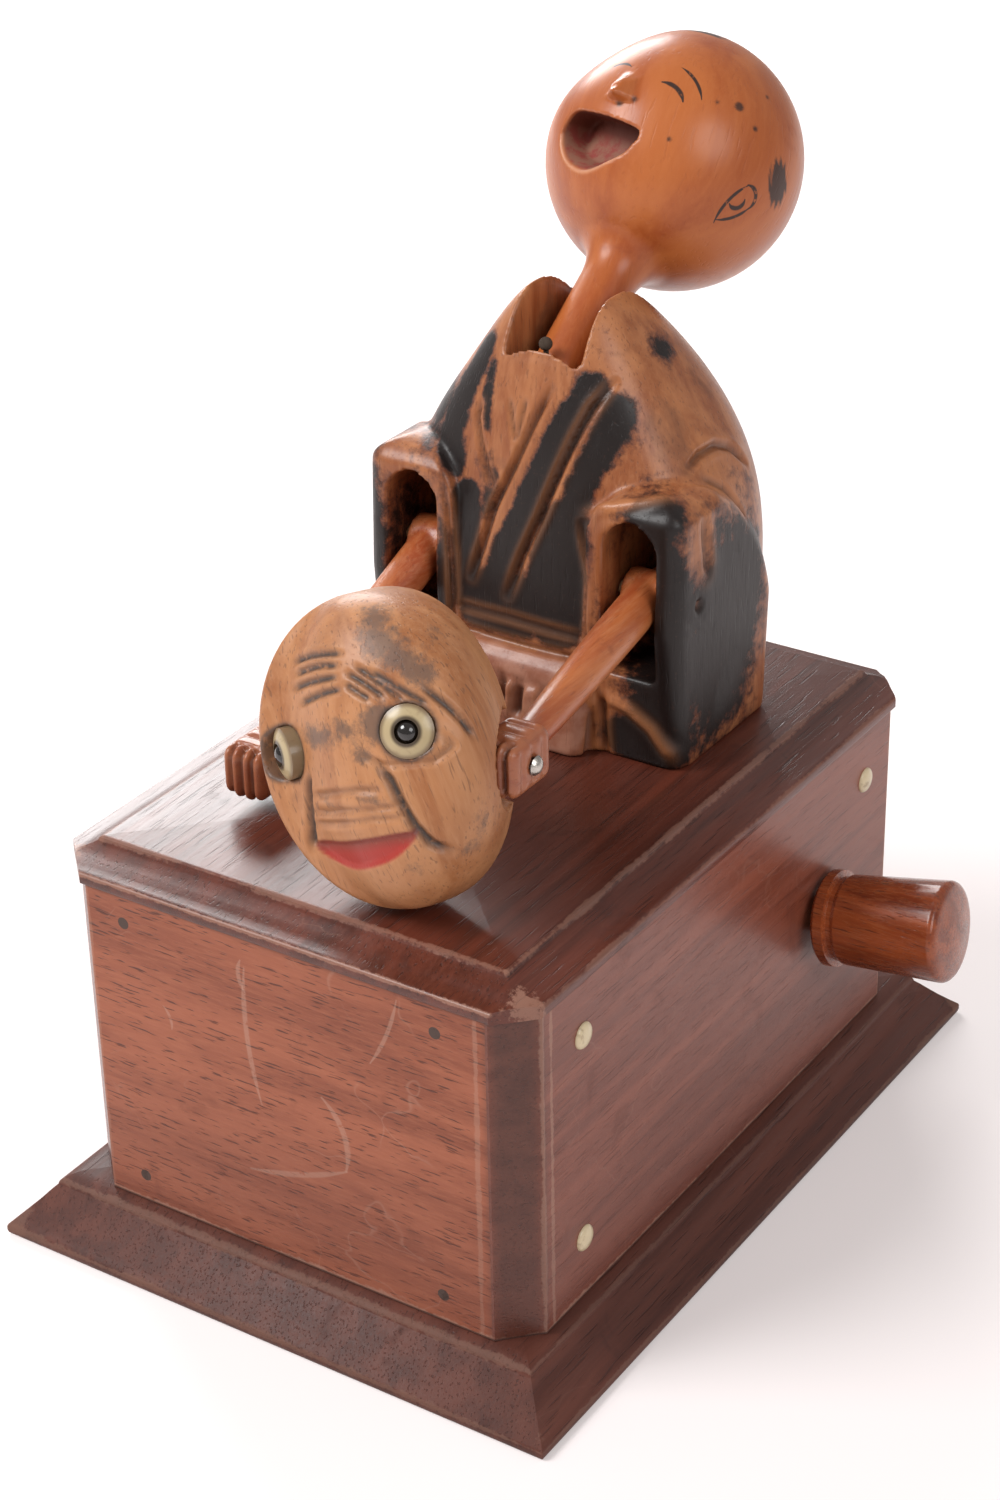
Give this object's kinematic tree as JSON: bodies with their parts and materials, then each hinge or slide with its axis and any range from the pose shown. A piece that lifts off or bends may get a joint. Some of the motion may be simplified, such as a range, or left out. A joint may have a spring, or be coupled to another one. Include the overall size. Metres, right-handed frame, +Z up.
{
  "type": "hand-cranked wooden automaton",
  "caption": "Hand-cranked wooden toy: a seated carved figure on a box raises a mask with both arms and nods its head as the side knob is turned.",
  "frame": {"origin": "centre of the base board's underside, where it stands", "axes": "+Z up, -Y to the front that the figure faces, +X to the side with the knob"},
  "size_m": [0.0828, 0.1006, 0.1212],
  "materials": {
    "dark_wood": "dark red-brown stain, worn pale at the arrises, satin",
    "panel_wood": "orange-brown stain over open grain, satin",
    "side_wood": "purplish brown stain, satin sheen",
    "plain_wood": "bare softwood",
    "knob_wood": "polished orange-brown with dark streaks",
    "bone": "cream bone, slightly polished",
    "iron": "dull iron",
    "thread": "waxed thread",
    "lacquered_wood": "black lacquer worn through to orange-brown wood",
    "arm_wood": "orange-red stain, satin",
    "nail_metal": "worn bright nail head",
    "mask_wood": "tan wood with dark smudges and a red mouth, satin",
    "black_horn": "polished black horn",
    "head_wood": "polished orange-brown close-grained wood, painted features"
  },
  "bodies": {
    "root": {"base_plinth": "dark_wood", "front_panel": "panel_wood", "back_panel": "panel_wood", "right_panel": "side_wood", "left_panel": "side_wood", "corner_posts": "plain_wood", "lid": "dark_wood", "right_bone_pegs": "bone", "left_bone_pegs": "bone", "panel_nails": "iron", "robe": "lacquered_wood", "robe_dowels": "plain_wood", "arm_pins": "plain_wood", "neck_pin": "plain_wood", "right_arm_thread": "thread", "left_arm_thread": "thread", "head_thread": "thread"},
    "spindle": {"spindle": "plain_wood", "spindle_stop_peg": "plain_wood", "knob": "knob_wood", "right_arm_drum": "plain_wood", "left_arm_drum": "plain_wood", "thread_windings": "thread"},
    "head": {"head": "head_wood"},
    "right_arm": {"right_arm": "arm_wood"},
    "left_arm": {"left_arm": "arm_wood", "left_hand_nail": "nail_metal"},
    "mask": {"mask": "mask_wood", "mask_right_eye": "bone", "mask_left_eye": "bone", "mask_right_pupil": "black_horn", "mask_left_pupil": "black_horn", "right_hand_nail": "nail_metal"}
  },
  "joints": [
    {"name": "knob_turn", "type": "hinge", "parent": "root", "child": "spindle", "pos_m": [0.03, 0.0207, 0.0268], "axis": [0.987, 0.0638, 0.1475], "range_deg": [0, 75]},
    {"name": "head_nod", "type": "hinge", "parent": "root", "child": "head", "pos_m": [0, 0.0132, 0.09], "axis": [1, 0, 0], "range_deg": [0, 52], "deforming": ["head_thread"]},
    {"name": "right_arm_swing", "type": "hinge", "parent": "root", "child": "right_arm", "pos_m": [0.014, 0.009, 0.0687], "axis": [-1, 0, 0], "range_deg": [0, 42], "deforming": ["right_arm_thread"]},
    {"name": "left_arm_swing", "type": "hinge", "parent": "root", "child": "left_arm", "pos_m": [-0.014, 0.009, 0.0687], "axis": [-1, 0, 0], "range_deg": [0, 42], "deforming": ["left_arm_thread"]},
    {"name": "mask_hang", "type": "hinge", "parent": "right_arm", "child": "mask", "pos_m": [0.01851, -0.02559, 0.0658], "axis": [1, 0, 0], "range_deg": [0, 42]}
  ],
  "couplings": [
    {"joint": "head_nod", "follows": "knob_turn", "ratio": 0.6933},
    {"joint": "right_arm_swing", "follows": "knob_turn", "ratio": 0.5599},
    {"joint": "left_arm_swing", "follows": "knob_turn", "ratio": 0.5599},
    {"joint": "mask_hang", "follows": "knob_turn", "ratio": 0.5599}
  ]
}
